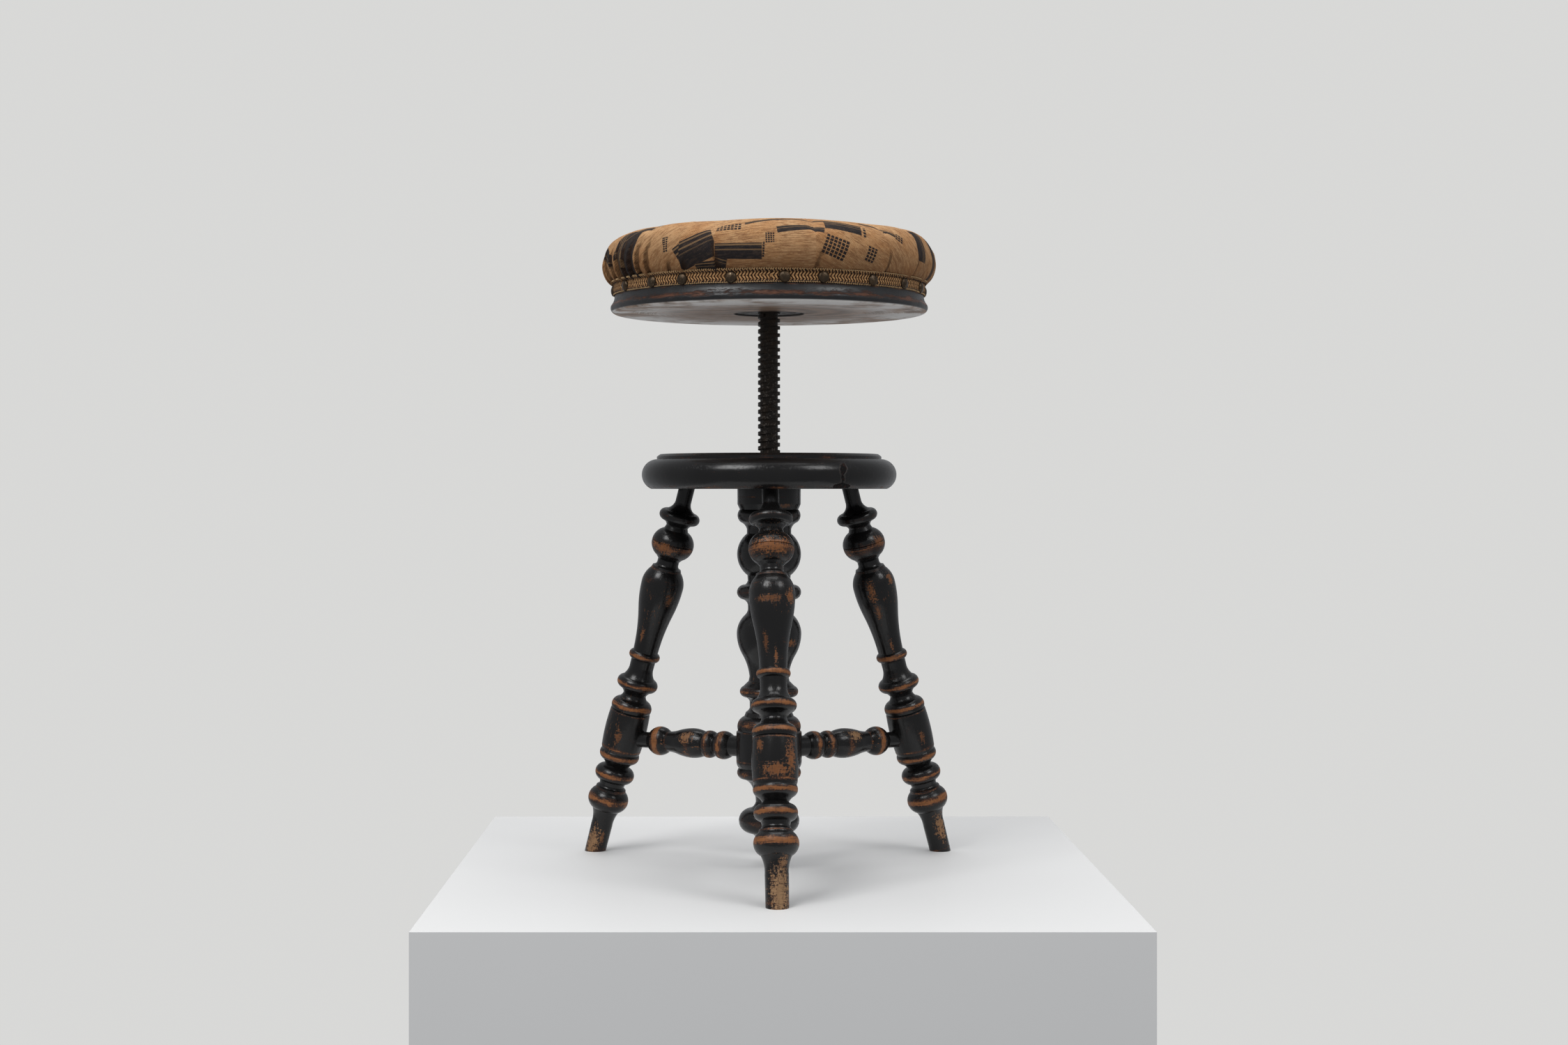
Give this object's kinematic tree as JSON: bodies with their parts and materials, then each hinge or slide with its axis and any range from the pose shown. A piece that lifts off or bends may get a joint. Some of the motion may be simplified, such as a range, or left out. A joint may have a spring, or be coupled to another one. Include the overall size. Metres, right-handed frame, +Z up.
{
  "type": "revolving piano stool",
  "caption": "Turned-wood stool on splayed legs round a hanging column, with a round upholstered seat that rises on an iron screw as it is turned.",
  "frame": {"origin": "on the floor, under the axis of the screw", "axes": "+Z up along the screw's axis, the front leg towards -Y, the other two legs at 30 and 150 degrees from +X"},
  "size_m": [0.4046, 0.4068, 0.6675],
  "materials": {
    "ebonised_wood": "satin black stain, worn to brown on its edges",
    "board_wood": "bare and greyed below, dark stained at the edge",
    "dark_iron": "dark, oiled and worn",
    "screw_steel": "dull, tarnished",
    "stuffing": "curled hair and tow",
    "lining_cloth": "plain unbleached cotton",
    "cover_cloth": "ribbed weave, golden brown with dark bars and dashes",
    "braid_cloth": "flat woven braid",
    "nail_bronze": "dark bronze",
    "tack_iron": "blued"
  },
  "bodies": {
    "base": {"top_disc": "ebonised_wood", "column": "ebonised_wood", "leg_front": "ebonised_wood", "leg_right": "ebonised_wood", "leg_left": "ebonised_wood", "stretcher_front": "ebonised_wood", "stretcher_right": "ebonised_wood", "stretcher_left": "ebonised_wood", "screw_nut": "dark_iron", "nut_screws": "screw_steel"},
    "stop": {"stop_washer": "dark_iron"},
    "seat": {"screw_spindle": "dark_iron", "end_screw": "screw_steel", "seat_flange": "dark_iron", "flange_screws": "screw_steel", "seat_board": "board_wood", "stuffing_pad": "stuffing", "lining": "lining_cloth", "seat_cover": "cover_cloth", "braid": "braid_cloth", "cover_nails": "nail_bronze", "cover_tacks": "tack_iron"}
  },
  "joints": [
    {"name": "seat_rise", "type": "slide", "parent": "base", "child": "stop", "axis": [0, 0, 1], "range_m": [-0.14635, 0.01545]},
    {"name": "seat_turn", "type": "hinge", "parent": "stop", "child": "seat", "pos_m": [0, 0, 0.584], "axis": [0, 0, 1], "range_deg": [-6840, 720]}
  ],
  "couplings": [
    {"joint": "seat_rise", "follows": "seat_turn", "m_per_rad": 0.0012255}
  ]
}
